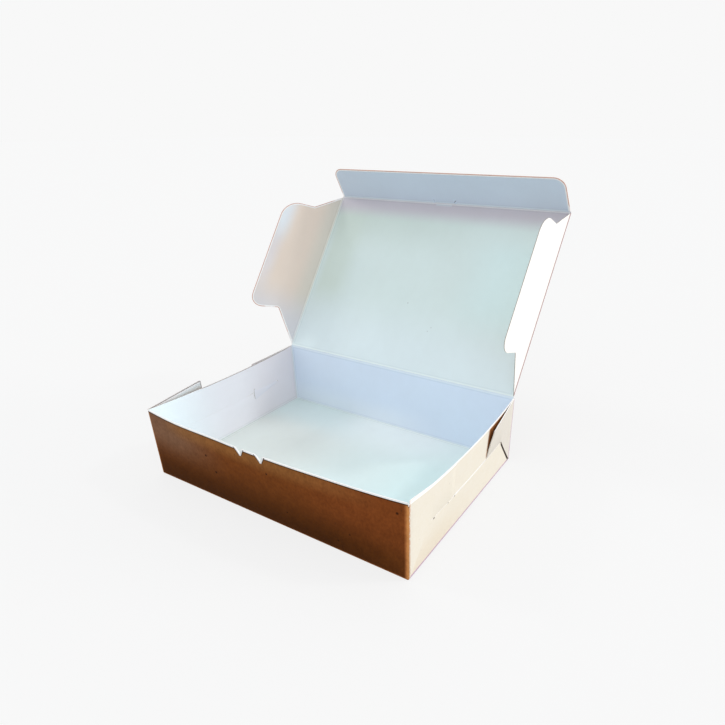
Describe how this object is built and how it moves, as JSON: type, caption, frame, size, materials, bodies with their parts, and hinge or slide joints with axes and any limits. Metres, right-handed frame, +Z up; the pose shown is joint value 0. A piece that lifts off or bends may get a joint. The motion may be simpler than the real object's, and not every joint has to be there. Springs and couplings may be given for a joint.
{
  "type": "takeaway box",
  "caption": "Shallow folded kraft board takeaway box with an attached hinged lid, side wings, a front tuck flap and corner lock tabs, shown open.",
  "frame": {"origin": "middle of the tray's underside", "axes": "+X to the right seen from the front, +Y to the rear where the lid is hinged, +Z up"},
  "size_m": [0.2325, 0.2294, 0.183],
  "materials": {
    "kraft_board": "matt",
    "lined_board": "satin"
  },
  "bodies": {
    "tray": {"tray": "kraft_board"},
    "lid": {"lid_panel": "lined_board"},
    "left_wing": {"left_wing": "lined_board"},
    "right_wing": {"right_wing": "lined_board"},
    "front_flap": {"front_flap": "lined_board"}
  },
  "joints": [
    {"name": "lid_hinge", "type": "hinge", "parent": "tray", "child": "lid", "pos_m": [0, 0.06978, 0.0501], "axis": [-1, 0, 0], "range_deg": [-127.1, 70]},
    {"name": "left_wing_fold", "type": "hinge", "parent": "lid", "child": "left_wing", "pos_m": [-0.0994, 0.06978, 0.0501], "axis": [0, 0.6032, 0.7976], "range_deg": [-39.3, 71.3]},
    {"name": "right_wing_fold", "type": "hinge", "parent": "lid", "child": "right_wing", "pos_m": [0.0994, 0.06978, 0.0501], "axis": [0, -0.6032, -0.7976], "range_deg": [-17.6, 31.9]},
    {"name": "front_flap_fold", "type": "hinge", "parent": "lid", "child": "front_flap", "pos_m": [0, 0.15284, 0.15993], "axis": [1, 0, 0], "range_deg": [-15.5, 28.1]}
  ],
  "couplings": [
    {"joint": "left_wing_fold", "follows": "lid_hinge", "ratio": -0.56},
    {"joint": "right_wing_fold", "follows": "lid_hinge", "ratio": -0.25},
    {"joint": "front_flap_fold", "follows": "lid_hinge", "ratio": -0.22}
  ]
}
